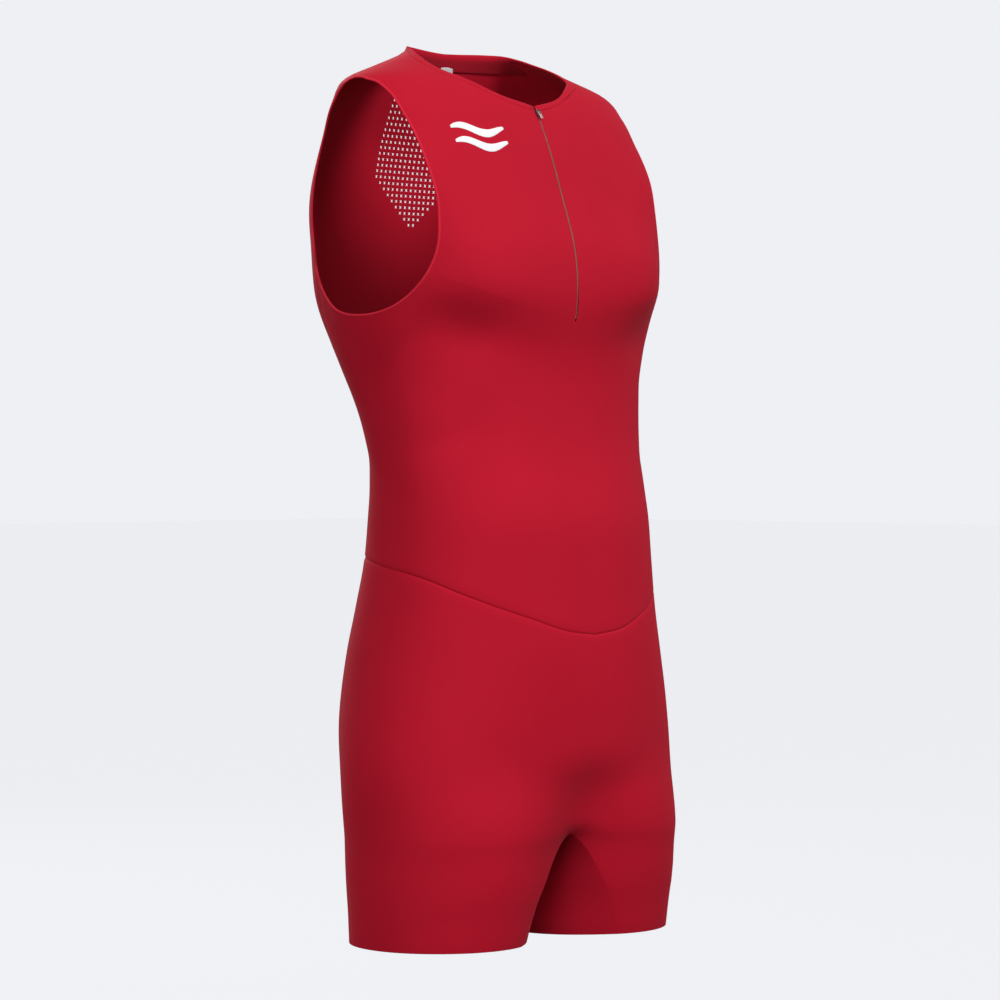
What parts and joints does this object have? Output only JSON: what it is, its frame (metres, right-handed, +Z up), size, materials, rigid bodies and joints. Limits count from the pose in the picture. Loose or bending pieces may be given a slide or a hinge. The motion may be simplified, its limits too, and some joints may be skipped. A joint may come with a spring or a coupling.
{
  "type": "triathlon suit",
  "caption": "Sleeveless one-piece triathlon suit in worn form: short front zip, short legs, deep armholes, V-shaped seam at the front waist and a laser-cut mesh zone on the upper back.",
  "frame": {"origin": "on the centre plane at the height of the two neck points, where the shoulder seams meet the neckline and the suit hangs, 11 mm in front of the line between them", "axes": "+X to the wearer's left, +Y to the back of the suit, +Z up; the front with the zip faces -Y"},
  "size_m": [0.3326, 0.2281, 0.7675],
  "materials": {
    "red_knit": "matt stretch knit with a soft sheen",
    "neck_binding_knit": "folded knit binding",
    "neck_tape_weave": "narrow woven tape",
    "label_weave": "plain pale woven patch",
    "zip_tape_weave": "fine woven tape",
    "zip_coil_plastic": "spiral coil teeth",
    "slider_metal": "dark painted die casting",
    "pull_metal": "pale satin metal",
    "raised_white_print": "raised satin white print"
  },
  "bodies": {
    "garment": {"top_front": "red_knit", "top_back": "red_knit", "shorts_front": "red_knit", "shorts_back": "red_knit", "inner_leg_panel": "red_knit", "neck_binding": "neck_binding_knit", "back_neck_tape": "neck_tape_weave", "neck_label": "label_weave", "zip_tape": "zip_tape_weave", "zip_coil": "zip_coil_plastic", "zip_slider": "slider_metal", "chest_band_upper": "raised_white_print", "chest_band_lower": "raised_white_print"},
    "pull_tab": {"zip_pull": "pull_metal"}
  },
  "joints": [
    {"name": "pull_tab_hinge", "type": "hinge", "parent": "garment", "child": "pull_tab", "pos_m": [0, -0.07735, -0.05457], "axis": [-1, 0, 0], "range_deg": [0, 150]}
  ]
}
